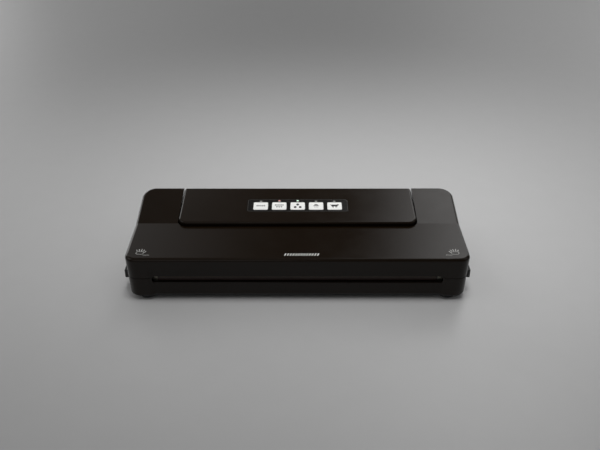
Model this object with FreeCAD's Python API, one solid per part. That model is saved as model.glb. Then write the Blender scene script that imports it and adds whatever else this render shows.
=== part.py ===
import FreeCAD, Part
import math
import os
from FreeCAD import Vector as V

# Vacuum sealer for bag film. Millimetres. +X right, +Y to the rear, +Z up.
# Origin: centre of the bounding box in plan, at the underside of the feet.

# Outer form
width = 370.0            # across the lid, at the crest of its front edge
depth = 138.0            # front face to rear face
crest_z = 54.0           # flat front part of the lid
rear_z = 64.5            # top of the lid at its rear edge
rear_reach = 63.2        # y where the rear slope reaches rear_z
crease_y = 3.7           # valley between the flat part and the rear slope
draft = 1.5              # degrees, all walls lean in towards the bottom
front_corner = 12.0
rear_corner = 16.0
edge_round = 3.5         # round along the top edges
parting_z = 28.5         # joint between lid and base at the sides
parting_gap = 0.6
wall = 2.5
split_z = 6.6            # joint between base housing and bottom cover
cover_z = 4.0            # underside of the bottom cover
cover_inset = 0.6

# Front, between the corner pillars
slot_half = 156.0        # half the width of the bag slot
slot_top = 29.5
deck_z = 21.5            # top of the deck, and bottom of the bag slot
deck_plate = 2.5
base_recess = 4.0        # base front wall stands back by this
lip_recess = 2.5         # lower band of the lid stands back by this
lip_z = 38.5             # underside of the lid's front lip
band_round = 1.2         # along the lower edge of the lid
deck_round = 1.5         # along the front edge of the deck
pillar_round = 6.0       # pillar edge next to the recess

# Control tower
tower_half = 135.6
tower_front = -1.6
tower_front_z = 58.6     # top of the tower at its front edge
tower_corner = 10.0
tower_round = 2.2
tower_gap = 1.3          # around the tower, to the lid
tower_gap_front = 1.6

# Hinge
hinge_z = 46.0
barrel_r = 8.0
hinge_pin_r = 2.0
pin_running = 0.08       # radial clearance of the pin in the lid
pin_in = 9.6             # pin inside the tower's end
pin_out = 22.4           # and outside it
barrel_core_r = 5.5

# Vacuum chamber and gaskets
chamber_half = 140.0
chamber_front = -41.0
chamber_rear = -14.0
chamber_floor = 12.0
gasket_half = 160.0      # outer half length of the gasket ring
gasket_front = -50.0
gasket_rear = -6.2
gasket_width = 5.0
gasket_corner = 8.0
groove_depth = 1.5
gasket_top = 26.8
gasket_gap = 0.5         # between the two gaskets with the lid resting

# Seal bar
bar_front = -61.0
bar_rear = -53.0
bar_half = 152.0
bar_top = 25.5
strip_width = 3.0
strip_thick = 0.3
tape_thick = 0.2
press_gap = 0.6          # pressure strip to tape with the lid resting
press_width = 8.0

# Lid liner
liner_z = 31.5
liner_thick = 2.0
fit_gap = 0.3            # around parts that sit inside others

# Latches and release buttons
latch_y = -43.0
hook_x = 169.5           # middle of the hook blade
hook_thick = 3.0
hook_width = 10.0
hook_bottom = 15.0
nose_out = 2.6
nose_high = 4.0
catch_top = 14.5
slider_thick = 3.5
slider_width = 14.0
slider_inner = 158.0
catch_edge = 167.2
window_outer = 175.0
slider_room = 1.5        # slider to the side wall
button_out = 6.0         # proud of the side wall
button_long = 16.0
button_low = 18.0
button_high = 27.8
button_gap = 0.4
spring_r = 2.6
spring_wire = 0.6
spring_turns = 5
spring_seat_x = 148.0
rail = 1.5

# Lid switch under the deck, with a lever that the lid's pusher holds down
lever_x = 152.0
lever_pivot = (2.0, 14.0)    # y, z
lever_reach = 12.0           # y of the pusher
lever_top = 18.0
lever_half = 1.6
lever_pivot_r = 1.3
lever_pin_r = 0.75
lever_pin_out = 1.6
lever_ear = 1.2
lever_case = 20.0
lever_case_top = 12.6

# Control panel, in its own frame on the tower's sloping top
panel_y = 31.5           # middle of the overlay
overlay_wide = 117.6
overlay_long = 24.6
overlay_thick = 0.8
overlay_corner = 3.0
key_pitch = 21.5
key_wide = 16.8
key_long = 14.6
key_corner = 1.6
key_shift = -1.6         # keys sit this far forward of the overlay's middle
key_proud = 0.4
key_gap = 0.3
key_flange = 1.0
key_stem_r = 1.6
key_travel = 0.6
led_window_wide = 3.0
led_window_long = 1.4
led_ahead = 9.9          # from the key row's middle to the windows
board_drop = 10.0        # overlay face to the top of the control board
board_thick = 1.6

# Fasteners and feet
foot_r = 9.0
foot_x = 165.0
foot_front = -56.0
foot_rear = 52.0
foot_seat = 1.0
screw_r = 1.45
screw_head_r = 2.8
screw_head = 1.4
boss_r = 3.6
tower_screw_in = 8.6     # cover screws inside the tower's ends
nipple_end = 10.0        # chamber nipple behind the chamber

lean = math.tan(math.radians(draft))
slope = (rear_z - crest_z) / (rear_reach - crease_y)
front_y = -depth / 2
rear_y = depth / 2
hinge_y = rear_y - (rear_z - edge_round - hinge_z) * lean - barrel_r
lid_bottom = parting_z + parting_gap / 2
base_top = parting_z - parting_gap / 2
barrel_bottom = hinge_z - barrel_r
step_y = hinge_y - barrel_r - 4.0      # the parting line rises behind here
tower_slope = (rear_z - tower_front_z) / (rear_reach - tower_front)
tower_tilt = math.degrees(math.atan(tower_slope))
deck_under = deck_z - deck_plate
tape_top = bar_top + strip_thick + tape_thick
pin_inner = tower_half - pin_in
pin_outer = tower_half + pin_out
bar_middle = (bar_front + bar_rear) / 2
slider_outer = width / 2 - wall - slider_room
far = 400.0              # beyond everything
over = 1.0               # cutters run past the face that they cut by this

os.makedirs("parts", exist_ok=True)


def save(name, shape):
    shape.exportStep("parts/" + name + ".step")


def box(x0, x1, y0, y1, z0, z1):
    return Part.makeBox(x1 - x0, y1 - y0, z1 - z0, V(x0, y0, z0))


def rod(radius, start, end):
    start, end = V(*start), V(*end)
    return Part.makeCylinder(radius, (end - start).Length, start, end - start)


def joined(shapes):
    return shapes[0].fuse(shapes[1:]).removeSplitter()


def group(shapes):
    return Part.makeCompound(shapes)


def mirrored(shape):
    return shape.mirror(V(0, 0, 0), V(1, 0, 0))


def both(shape):
    return [shape, mirrored(shape)]


def round_rect(x0, x1, y0, y1, front_r, rear_r, z):
    """Closed wire of a rounded rectangle at height z, with its own radius at front and rear."""
    def arc(x, y, radius, start):
        return Part.makeCircle(radius, V(x, y, z), V(0, 0, 1), start, start + 90)

    def line(xa, ya, xb, yb):
        return Part.makeLine(V(xa, ya, z), V(xb, yb, z))

    return Part.Wire([
        line(x0 + front_r, y0, x1 - front_r, y0), arc(x1 - front_r, y0 + front_r, front_r, 270),
        line(x1, y0 + front_r, x1, y1 - rear_r), arc(x1 - rear_r, y1 - rear_r, rear_r, 0),
        line(x1 - rear_r, y1, x0 + rear_r, y1), arc(x0 + rear_r, y1 - rear_r, rear_r, 90),
        line(x0, y1 - rear_r, x0, y0 + front_r), arc(x0 + front_r, y0 + front_r, front_r, 180)])


def slab(x0, x1, y0, y1, z0, z1, radius):
    face = Part.Face(round_rect(x0, x1, y0, y1, radius, radius, z0))
    return face.extrude(V(0, 0, z1 - z0))


def outline(z, inset=0.0):
    """Plan outline of the body at height z."""
    half = width / 2 - (crest_z - z) * lean - inset
    y0 = front_y + (crest_z - edge_round - z) * lean + inset
    y1 = rear_y - (rear_z - edge_round - z) * lean - inset
    return round_rect(-half, half, y0, y1, front_corner - inset, rear_corner - inset, z)


def block(z0, z1, inset=0.0):
    return Part.makeLoft([outline(z0, inset), outline(z1, inset)], True, True)


def side_profile(points):
    """Prism across the whole width from a closed outline of (y, z) points."""
    wire = Part.makePolygon([V(-far, y, z) for y, z in points + points[:1]])
    return Part.Face(wire).extrude(V(2 * far, 0, 0))


def roof(lower=0.0):
    rise = crest_z + slope * (far - crease_y)
    return side_profile([(-far, -far), (-far, crest_z - lower), (crease_y, crest_z - lower),
                         (far, rise - lower), (far, -far)])


def above_parting(z_low, z_step, y_step):
    """Everything above the parting line, which steps up near the hinge."""
    return side_profile([(-far, z_low), (y_step, z_low), (y_step + 4.0, z_step), (far, z_step),
                         (far, far), (-far, far)])


def top_edges(shape):
    """Edges round the top of the body, without the crease."""
    def is_crease(edge):
        return edge.BoundBox.YLength < 0.01 and abs(edge.BoundBox.YMin - crease_y) < 0.01
    return [e for e in shape.Edges if e.Vertexes[0].Z > crest_z - 0.01
            and e.Vertexes[-1].Z > crest_z - 0.01 and not is_crease(e)]


def tower_block(grow, z0, z1, grow_front=None):
    """Plan of the tower, grown by a gap, open to the rear."""
    ahead = grow if grow_front is None else grow_front
    half = tower_half + grow
    y0 = tower_front - ahead
    radius = tower_corner + grow
    return slab(-half, half, y0, rear_y + 60.0, z0, z1, radius)


def front_recess(back, z0, z1):
    """Cutter that sets the front back between the corner pillars, with rounded ends."""
    face = front_y + back
    turn = pillar_round
    half = slot_half + 1.0
    start = V(-half - turn, front_y - 3.0, z0)
    dip = turn * 0.29
    side = [start, V(-half - turn, front_y + 0.2, z0)]
    middle = V(-half - turn + turn * 0.75, front_y + 0.2 + dip, z0)
    low = V(-half + 1.5, face, z0)
    mid_low = V(-half - 0.2, face - (back - dip) * 0.45, z0)
    left = [Part.makeLine(side[0], side[1]), Part.Arc(side[1], V(-half - turn * 0.55,
            front_y + 0.2 + dip * 0.35, z0), middle).toShape(),
            Part.Arc(middle, mid_low, low).toShape()]
    right = [mirrored(e) for e in left]
    across = Part.makeLine(low, V(half - 1.5, face, z0))
    front = Part.makeLine(V(half + turn, front_y - 3.0, z0), start)
    wire = Part.Wire(Part.__sortEdges__(left + right + [across, front]))
    return Part.Face(wire).extrude(V(0, 0, z1 - z0))


def front_band(back, top, beside=0.0):
    """Room behind the front recess, kept solid as its wall."""
    half = slot_half + pillar_round + wall + beside
    return box(-half, half, -far, front_y + back, 0.0, top)


def bag_slot(z0, z1, y0, y1):
    """Slot with half-round ends, running from y0 back to y1."""
    radius = (z1 - z0) / 2 - 0.01
    flat = Part.Face(round_rect(-slot_half - 1.5, slot_half + 1.5, z0, z1, radius, radius, 0.0))
    flat.rotate(V(0, 0, 0), V(1, 0, 0), 90)
    flat.translate(V(0, y1, 0))
    return flat.extrude(V(0, y0 - y1, 0))


def ring(y0, y1, half, thick, z0, z1, corner):
    outer = slab(-half, half, y0, y1, z0, z1, corner)
    inner = slab(-half + thick, half - thick, y0 + thick, y1 - thick, z0 - 1, z1 + 1, corner - thick)
    return outer.cut(inner)


def on_panel(shape):
    """Place a shape made flat round the origin on the tower's sloping top."""
    placed = shape.copy()
    placed.rotate(V(0, 0, 0), V(1, 0, 0), tower_tilt)
    placed.translate(V(0, panel_y, tower_front_z + tower_slope * (panel_y - tower_front)))
    return placed


def key_x(index):
    return (index - 2) * key_pitch


panel_posts = [(x, y) for x in (-56.5, 56.5) for y in (-10.0, 10.0)]
cover_screws_at = ([(s * x, -56.5) for s in (-1, 1) for x in (60.0, 130.0)]
                   + [(s * 176.0, 22.0) for s in (-1, 1)]
                   + [(s * (tower_half - tower_screw_in), y) for s in (-1, 1) for y in (8.0, 58.5)])
lid_screws_at = ([(s * 175.0, -57.0) for s in (-1, 1)] + [(s * 172.0, -18.0) for s in (-1, 1)]
                 + [(s * 160.0, 36.0) for s in (-1, 1)] + [(s * 70.0, -27.0) for s in (-1, 1)])


def body_solid():
    solid = block(cover_z, rear_z + 6.0).common(roof())
    return solid.makeFillet(edge_round, top_edges(solid))


def edge_round_cutter(y, z, radius, up):
    """Cutter that rounds a long edge of the bag slot: up is 1 where the material is above it."""
    corner = box(-slot_half, slot_half, y - 1.0, y + radius, min(z - up, z + up * radius),
                 max(z - up, z + up * radius))
    core = rod(radius, (-slot_half - 1.0, y + radius, z + up * radius),
               (slot_half + 1.0, y + radius, z + up * radius))
    return corner.cut(core)


def make_lid_shell(body):
    shell = body.common(above_parting(lid_bottom, barrel_bottom, step_y))
    shell = shell.cut(box(-far, far, hinge_y, far, -far, hinge_z))
    inside = block(cover_z, rear_z + 6.0, wall).common(roof(wall))
    inside = inside.common(above_parting(-far, -far, step_y))
    barrel_zone = box(-far, far, hinge_y - barrel_r - wall, far, -far, hinge_z + barrel_r)
    inside = inside.cut(barrel_zone)
    inside = inside.cut(tower_block(tower_gap + 2.0, -10.0, far, tower_gap_front + 2.0))
    inside = inside.cut(front_band(lip_recess + wall, lip_z + wall))
    shell = shell.cut(inside)
    shell = shell.cut(tower_block(tower_gap, -10.0, far, tower_gap_front))
    barrel = rod(barrel_r, (tower_half + tower_gap, hinge_y, hinge_z),
                 (width / 2, hinge_y, hinge_z)).common(block(cover_z, rear_z))
    shell = joined([shell] + both(barrel))
    # bosses for the liner screws, from the roof down to the liner
    bosses = []
    for x, y in lid_screws_at:
        top = crest_z + max(0.0, slope * (y - crease_y)) - wall / 2
        bosses.append(rod(boss_r, (x, y, liner_z + liner_thick), (x, y, top)))
    shell = joined([shell] + bosses)
    cuts = [front_recess(lip_recess, lid_bottom - 2.0, lip_z),
            bag_slot(deck_z, slot_top, front_y - 5.0, front_y + 8.0)]
    for x, y in lid_screws_at:
        cuts.append(rod(screw_r, (x, y, liner_z), (x, y, liner_z + liner_thick + 8.0)))
    bore = rod(hinge_pin_r + pin_running, (tower_half, hinge_y, hinge_z),
               (pin_outer + 1.0, hinge_y, hinge_z))
    core = rod(barrel_core_r, (pin_outer + 4.0, hinge_y, hinge_z),
               (width / 2 - 7.0, hinge_y, hinge_z))
    cuts.append(edge_round_cutter(front_y + lip_recess, slot_top, band_round, 1))
    return shell.cut(cuts + both(bore) + both(core))


def hinge_line_clear():
    """Room round the barrels in the liner."""
    return box(-far, far, step_y - 1.0, far, -far, far)


def make_lid_liner():
    plate = block(liner_z, liner_z + liner_thick, wall + fit_gap)
    plate = plate.cut(tower_block(tower_gap + 2.0 + fit_gap, 0.0, far,
                                  tower_gap_front + 2.0 + fit_gap))
    plate = plate.cut(hinge_line_clear())
    # the band over the front slot stands back with the shell
    plate = plate.cut(front_band(lip_recess + wall + fit_gap, far, fit_gap))
    press_top = liner_z + 0.5
    channel = box(-bar_half, bar_half, bar_front, bar_rear, 0.0, press_top)
    groove = ring(gasket_front, gasket_rear, gasket_half, gasket_width, 0.0,
                  liner_z + groove_depth / 2, gasket_corner)
    holes = [rod(screw_r, (x, y, 0.0), (x, y, far)) for x, y in lid_screws_at]
    heads = [rod(screw_head_r + fit_gap, (x, y, 0.0), (x, y, liner_z + 0.8))
             for x, y in lid_screws_at]
    hook_pads = box(hook_x - 4.0, hook_x + 4.0, latch_y - hook_width / 2 - 1.0,
                    latch_y + hook_width / 2 + 1.0, 0.0, liner_z + 0.8)
    plate = plate.cut([channel, groove] + holes + heads + both(hook_pads))
    pusher = rod(1.5, (lever_x, lever_reach, lever_top + 0.3), (lever_x, lever_reach, liner_z + 1.0))
    return joined([plate, pusher])


def make_hook():
    """Right-hand lid hook, nose towards the middle."""
    y0, y1 = latch_y - hook_width / 2, latch_y + hook_width / 2
    inner, outer = hook_x - hook_thick / 2, hook_x + hook_thick / 2
    foot = box(hook_x - 4.0 + fit_gap, hook_x + 4.0 - fit_gap, y0 - 0.7, y1 + 0.7,
               liner_z - 1.2, liner_z + 0.8)
    points = [(inner, liner_z), (inner, hook_bottom + nose_high), (inner - nose_out,
              hook_bottom + nose_high), (inner - nose_out, hook_bottom + 2.6),
              (inner - 0.4, hook_bottom), (outer, hook_bottom), (outer, liner_z)]
    wire = Part.makePolygon([V(x, y0, z) for x, z in points + points[:1]])
    blade = Part.Face(wire).extrude(V(0, y1 - y0, 0))
    return joined([foot, blade])


def make_base_housing(body):
    zone = above_parting(base_top, barrel_bottom - parting_gap, step_y)
    shell = body.cut(zone).cut(box(-far, far, -far, far, 0.0, split_z))
    low = block(cover_z - 1.0, deck_under, wall).cut(front_band(base_recess + wall, deck_z))
    rear_hollow = block(deck_under - 1.0, barrel_bottom - parting_gap - wall, wall)
    rear_hollow = rear_hollow.common(box(-far, far, step_y + 4.0 + wall, far, 0.0, far))
    rear_hollow = rear_hollow.cut(tower_block(tower_gap + wall, 0.0, far))
    above_deck = block(deck_z, parting_z + 3.0, wall)
    above_deck = above_deck.common(box(-far, far, -far, step_y - wall, 0.0, far))
    tower_room = tower_block(0.01, deck_z, far)
    tower_hole = slab(-tower_half + wall, tower_half - wall, tower_front + wall,
                      rear_y - wall - 0.9, 0.0, far, tower_corner - wall)
    shell = shell.cut([low, rear_hollow, above_deck, tower_room, tower_hole])
    chamber = slab(-chamber_half - 2.0, chamber_half + 2.0, chamber_front - 2.0, chamber_rear + 2.0,
                   chamber_floor - 2.0, deck_under, 5.0)
    bosses = [rod(boss_r, (x, y, split_z), (x, y, deck_under)) for x, y in cover_screws_at[:6]]
    seat = box(spring_seat_x - 2.0, spring_seat_x, latch_y - 4.0, latch_y + 4.0,
               catch_top - slider_thick - 2.0, deck_under)
    nipple = rod(hose_r, (valve_x, chamber_rear + 2.0, hose_z),
                 (valve_x, chamber_rear + nipple_end, hose_z))
    shell = joined([shell, chamber, nipple] + bosses + both(seat))
    cuts = [slab(-chamber_half, chamber_half, chamber_front, chamber_rear, chamber_floor, far, 4.0),
            ring(gasket_front, gasket_rear, gasket_half, gasket_width, deck_z - groove_depth, far,
                 gasket_corner),
            rod(hose_bore, (valve_x, chamber_rear - 3.0, hose_z),
                (valve_x, chamber_rear + nipple_end + over, hose_z)),
            front_recess(base_recess, 0.0, base_top + 1.0),
            bag_slot(deck_z, slot_top, front_y - 5.0, front_y + base_recess + wall + 0.5),
            box(-bar_half, bar_half, bar_front, bar_rear, deck_z - 1.0, far),
            rod(gland_r, (gland_x, rear_y - 6.0, gland_z), (gland_x, rear_y + 6.0, gland_z))]
    for x, y in cover_screws_at[:6]:
        cuts.append(rod(screw_r, (x, y, 0.0), (x, y, split_z + 10.0)))
    button_room = button_long / 2 + button_gap
    opening = box(slider_inner + 5.5, slider_outer + over, latch_y - button_room,
                  latch_y + button_room, chamber_floor, far)
    notch = box(width / 2 - 6.0, far, latch_y - button_room, latch_y + button_room,
                button_low - button_gap, far)
    switch_hole = box(lever_x - 3.0, lever_x + 3.0, lever_reach - 5.0, lever_reach + 4.0,
                      deck_under - 1.0, deck_z + 1.0)
    lead_holes = rod(lead_r + 0.6, (lead_x, bar_middle, 0.0), (lead_x, bar_middle, far))
    cuts.append(edge_round_cutter(front_y + base_recess, deck_z, deck_round, -1))
    return shell.cut(cuts + both(opening) + both(notch) + both(lead_holes) + [switch_hole])


def rail_pair():
    """Guide rails and floor for the right-hand latch slider."""
    y0, y1 = latch_y - slider_width / 2, latch_y + slider_width / 2
    x0, x1 = slider_inner - 4.0, slider_outer - over
    floor_top = catch_top - slider_thick - fit_gap
    return [box(x0, x1, y0 - fit_gap - rail, y0 - fit_gap, split_z, catch_top - 1.0),
            box(x0, x1, y1 + fit_gap, y1 + fit_gap + rail, split_z, catch_top - 1.0),
            box(slider_inner, slider_inner + 5.0, y0 + 1.0, y1 - 1.0, split_z, floor_top),
            box(window_outer + 1.0, x1, y0 + 1.0, y1 - 1.0, split_z, floor_top)]


def make_bottom_cover():
    low = Part.makeLoft([outline(cover_z, cover_inset + 1.2), outline(cover_z + 1.2, cover_inset)],
                        True, True)
    plate = joined([low, block(cover_z + 1.2, split_z, cover_inset)])
    plate = plate.cut(front_recess(base_recess + cover_inset, 0.0, split_z + 1.0))
    rails = rail_pair()
    stand = [rod(board_post_r, (x, y, split_z - 0.5), (x, y, board_z)) for x, y in board_posts_at]
    plate = joined([plate] + rails + [mirrored(r) for r in rails] + stand)
    cuts = []
    for x, y in cover_screws_at:
        cuts.append(rod(screw_r + 0.25, (x, y, 0.0), (x, y, split_z + 1.0)))
        cuts.append(rod(screw_head_r + fit_gap, (x, y, 0.0), (x, y, cover_z + screw_head + 0.2)))
    for x, y in feet_at():
        cuts.append(rod(foot_r + 0.1, (x, y, 0.0), (x, y, cover_z + foot_seat)))
    cuts += [rod(board_hole_r, (x, y, split_z), (x, y, board_z + over)) for x, y in board_posts_at]
    # cooling slots under the transformer
    for i in range(vent_slots):
        x = transformer_x - core_half - 4.0 + i * vent_pitch
        cuts.append(slab(x, x + vent_wide, core_front - 4.0, core_rear, 0.0, split_z + over,
                         vent_wide / 2 - 0.05))
    return plate.cut(cuts)


def feet_at():
    return [(s * foot_x, y) for y in (foot_front, foot_rear) for s in (-1, 1)]


def make_foot(x, y):
    pad = rod(foot_r, (x, y, 0.0), (x, y, cover_z + foot_seat))
    rim = [e for e in pad.Edges if e.BoundBox.ZMax < 0.1 and e.BoundBox.ZLength < 0.1]
    return pad.makeFillet(1.0, rim)


def tower_solid(inset, lower):
    """Tower block with its sloping top and, on the outside, its rounded edges."""
    half = tower_half - inset
    front = tower_front + inset
    radius = tower_corner - inset
    plan = slab(-half, half, front, rear_y + 40.0, deck_z - (1.0 if inset else 0.0), 90.0, radius)
    top = tower_front_z + tower_slope * (far - tower_front)
    low = tower_front_z - tower_slope * (far + tower_front)
    solid = plan.common(side_profile([(-far, 0.0), (-far, low - lower), (far, top - lower),
                                      (far, 0.0)]))
    return solid


def make_tower():
    outer = tower_solid(0.0, 0.0)
    rim = [e for e in outer.Edges if min(v.Z for v in e.Vertexes) > tower_front_z - 1.0
           and e.BoundBox.YMax < rear_y + 41.0 and not (e.BoundBox.YLength < 0.01
           and e.BoundBox.YMin > rear_y)]
    outer = outer.makeFillet(tower_round, rim)
    # the rear face follows the body's drafted rear wall and its rounded top edge
    rear_wall = side_profile([
        (-far, -far), (rear_y - (rear_z - edge_round + far) * lean, -far),
        (rear_y, rear_z - edge_round), (rear_y, far), (-far, far)])
    outer = outer.common(rear_wall)
    back = [e for e in outer.Edges if e.BoundBox.YMin > rear_y - 1.0
            and e.BoundBox.ZMin > rear_z - 4.0 and e.BoundBox.XLength > tower_half]
    outer = outer.makeFillet(edge_round, back)
    inner = tower_solid(wall, wall)
    inner = inner.common(box(-far, far, -far, rear_y - wall - 0.9, -far, far))
    shell = outer.cut(inner)
    posts = [rod(boss_r, (x, y, split_z), (x, y, 50.0)) for x, y in cover_screws_at[6:]]
    webs = []
    for x, y in cover_screws_at[6:]:
        side = 1 if x > 0 else -1
        near, away = sorted((x + side * 2.0, side * (tower_half - wall / 2)))
        webs.append(box(near, away, y - 1.0, y + 1.0, deck_z, 50.0))
    pin_boss = rod(5.0, (pin_inner - 1.0, hinge_y, hinge_z), (tower_half - 1.0, hinge_y, hinge_z))
    board_posts = [on_panel(rod(2.6, (x, y, -board_drop), (x, y, -1.6))) for x, y in panel_posts]
    shell = joined([shell] + posts + webs + both(pin_boss) + board_posts)
    cuts = [rod(screw_r, (x, y, 0.0), (x, y, split_z + 10.0)) for x, y in cover_screws_at[6:]]
    cuts += both(rod(hinge_pin_r, (pin_inner, hinge_y, hinge_z), (far, hinge_y, hinge_z)))
    pocket = slab(-overlay_wide / 2 - 0.1, overlay_wide / 2 + 0.1, -overlay_long / 2 - 0.1,
                  overlay_long / 2 + 0.1, -overlay_thick, 5.0, overlay_corner)
    cuts.append(on_panel(pocket))
    for i in range(5):
        cuts.append(on_panel(key_slab(i, key_gap, -wall - 2.0, 0.0)))
        cuts.append(on_panel(led_slab(i, 0.15, -wall - 2.0, 0.0)))
    for x, y in panel_posts:
        cuts.append(on_panel(rod(0.9, (x, y, -board_drop - 1.0), (x, y, -board_drop + 5.0))))
    return shell.cut(cuts)


def key_slab(index, grow, z0, z1):
    x = key_x(index)
    return slab(x - key_wide / 2 - grow, x + key_wide / 2 + grow,
                key_shift - key_long / 2 - grow, key_shift + key_long / 2 + grow, z0, z1,
                key_corner + grow)


def led_slab(index, grow, z0, z1):
    x = key_x(index)
    y = key_shift + led_ahead
    return box(x - led_window_wide / 2 - grow, x + led_window_wide / 2 + grow,
               y - led_window_long / 2 - grow, y + led_window_long / 2 + grow, z0, z1)


def make_overlay():
    sheet = slab(-overlay_wide / 2, overlay_wide / 2, -overlay_long / 2, overlay_long / 2,
                 -overlay_thick, 0.0, overlay_corner)
    cuts = [key_slab(i, key_gap, -2.0, 1.0) for i in range(5)]
    cuts += [led_slab(i, 0.0, -2.0, 1.0) for i in range(5)]
    return on_panel(sheet.cut(cuts))


def make_key(index):
    cap = key_slab(index, 0.0, -wall - key_travel - 0.2, key_proud)
    rim = [e for e in cap.Edges if e.BoundBox.ZMin > key_proud - 0.01]
    cap = cap.makeFillet(0.35, rim)
    flange = key_slab(index, key_flange, -wall - key_travel - 1.2, -wall - 0.2)
    x = key_x(index)
    stem = rod(key_stem_r, (x, key_shift, -board_drop + 2.4), (x, key_shift, -wall - key_travel))
    return on_panel(joined([cap, flange, stem]))


def make_light_guide():
    """Comb of five light pipes joined by a bar under the tower's top."""
    y = key_shift + led_ahead
    pipes = [led_slab(i, -0.1, -board_drop + 1.2, -0.1) for i in range(5)]
    bar = box(key_x(0) - 1.5, key_x(4) + 1.5, y + 0.3, y + 1.5, -wall - 4.0, -wall - 0.4)
    return on_panel(joined(pipes + [bar]))


def make_control_board():
    board = slab(-61.0, 61.0, -14.0, 14.0, -board_drop - board_thick, -board_drop, 1.0)
    holes = [rod(1.1, (x, y, -20.0), (x, y, 0.0)) for x, y in panel_posts]
    return on_panel(board.cut(holes))


def make_tact_switches():
    solids = []
    for i in range(5):
        x = key_x(i)
        case = box(x - 3.0, x + 3.0, key_shift - 3.0, key_shift + 3.0, -board_drop,
                   -board_drop + 3.5)
        bore = rod(key_stem_r + 0.3, (x, key_shift, -board_drop + 1.2), (x, key_shift, 0.0))
        solids.append(on_panel(case.cut(bore)))
    return group(solids)


def make_status_leds():
    y = key_shift + led_ahead
    return group([on_panel(box(key_x(i) - 1.0, key_x(i) + 1.0, y - 0.6, y + 0.6, -board_drop,
                               -board_drop + 1.0)) for i in range(5)])


def make_board_screws():
    screws = []
    low = -board_drop - board_thick
    for x, y in panel_posts:
        shank = rod(0.9, (x, y, low), (x, y, -board_drop + 4.0))
        head = rod(2.0, (x, y, low - 1.2), (x, y, low))
        screws.append(on_panel(joined([shank, head])))
    return group(screws)


def make_slider():
    """Right-hand latch slider with its release button."""
    y0, y1 = latch_y - slider_width / 2, latch_y + slider_width / 2
    low = catch_top - slider_thick
    face = width / 2 - (crest_z - button_low) * lean
    plate = box(slider_inner, slider_outer, y0, y1, low, catch_top)
    window = box(catch_edge, window_outer, y0 + 1.6, y1 - 1.6, low - 1.0, catch_top + 1.0)
    riser = box(slider_outer - slider_thick, slider_outer, y0, y1, low, button_high)
    head = box(slider_outer - 2.0, face + button_out, latch_y - button_long / 2, latch_y + button_long / 2,
               button_low, button_high)
    outer = [e for e in head.Edges if e.BoundBox.XMin > face + button_out - 0.01]
    head = head.makeFillet(1.2, outer)
    peg = rod(spring_r - spring_wire - 0.3, (slider_inner - 2.5, latch_y, low + slider_thick / 2),
              (slider_inner, latch_y, low + slider_thick / 2))
    return joined([plate.cut(window), riser, head, peg])


def make_spring():
    """Compression spring between the seat in the base and the slider."""
    middle = catch_top - slider_thick / 2
    start = spring_seat_x + spring_wire / 2
    end = slider_inner - spring_wire / 2
    length = end - start
    radius = spring_r - spring_wire / 2
    coil = Part.makeHelix(length / spring_turns, length, radius)
    section = Part.Wire([Part.makeCircle(spring_wire / 2, V(radius, 0, 0), V(0, 1, 0))])
    wire = Part.Wire(coil).makePipeShell([section], True, True)
    wire.rotate(V(0, 0, 0), V(0, 1, 0), 90)
    wire.translate(V(start, latch_y, middle))
    return wire


def make_screws(places, head_low, head_up, up_to):
    """Screws with a round head from head_low to head_up and a shank up to a height."""
    screws = []
    for x, y in places:
        head = rod(screw_head_r, (x, y, head_low), (x, y, head_up))
        shank = rod(screw_r, (x, y, head_low + 0.5), (x, y, up_to))
        cross = [box(x - 1.6, x + 1.6, y - 0.3, y + 0.3, head_low - 1.0, head_low + 0.6),
                 box(x - 0.3, x + 0.3, y - 1.6, y + 1.6, head_low - 1.0, head_low + 0.6)]
        screws.append(joined([head, shank]).cut(cross))
    return group(screws)


def bent_tube(points, bend, radius, hole=0.0):
    """Tube of straight runs joined by tangent arcs of one bend radius."""
    points = [V(*p) for p in points]
    edges, start = [], points[0]
    for before, corner, after in zip(points, points[1:], points[2:]):
        into = (corner - before).normalize()
        out = (after - corner).normalize()
        turn = into.getAngle(out)
        back = bend * math.tan(turn / 2)
        first, last = corner - into * back, corner + out * back
        inward = (out - into).normalize()
        middle = corner + inward * (bend / math.cos(turn / 2) - bend)
        edges += [Part.makeLine(start, first), Part.Arc(first, middle, last).toShape()]
        start = last
    edges.append(Part.makeLine(start, points[-1]))
    path = Part.Wire(edges)
    along = points[1] - points[0]

    def swept(r):
        section = Part.Wire([Part.makeCircle(r, points[0], along)])
        return path.makePipeShell([section], True, False)

    return swept(radius).cut(swept(hole)) if hole else swept(radius)


# Inside the base and tower
end_room = 2.1           # from the tower's end walls to the motor and the transformer
motor_r = 14.0
motor_long = 38.0
motor_end_r = 4.0
motor_end = 3.0
pump_x = tower_half - wall - end_room - motor_long - motor_end    # between head and motor
pump_y = 34.0
pump_z = 26.0
pump_foot_half = 10.0
head_long = 26.0
head_half = 16.0
head_wall = 3.0
head_low = 11.0
head_top = 47.0
shaft_r = 1.5
shaft_gap = 0.1
crank_r = 5.0
crank_long = 7.0
eccentric = 1.2
crank_gap = 0.4          # eccentric to the rod's ring
rod_ring = 2.0
rod_half = 2.0
diaphragm_z = 41.0
diaphragm_thick = 2.0
hose_r = 2.5
hose_bore = 1.5
hose_z = 16.0
hose_bend = 3.4
port_long = 8.0
port_z = head_top - head_wall - 0.3
port_x = pump_x - head_long / 2
valve_x = 40.0
valve_y = 9.0
valve_half = 7.0
valve_front = 4.0
valve_nose = 3.5
valve_low = 12.0
coil_low = 30.0
coil_top = 46.0
side_y = 6.5             # way to the pump hose
side_z = 22.0
side_long = 2.0
plunger_r = 2.0
plunger_gap = 0.3
plunger_low = 26.0
plunger_top = 50.0
core_half = 28.0
core_front = 22.0
core_rear = 48.0
core_top = 46.0
core_limb = 9.0
core_window = 11.0
window_low = 15.0
window_top = 38.0
winding_out = 9.5        # winding beyond the core, front and rear
winding_gap = 0.5
winding_corner = 5.0
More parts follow.
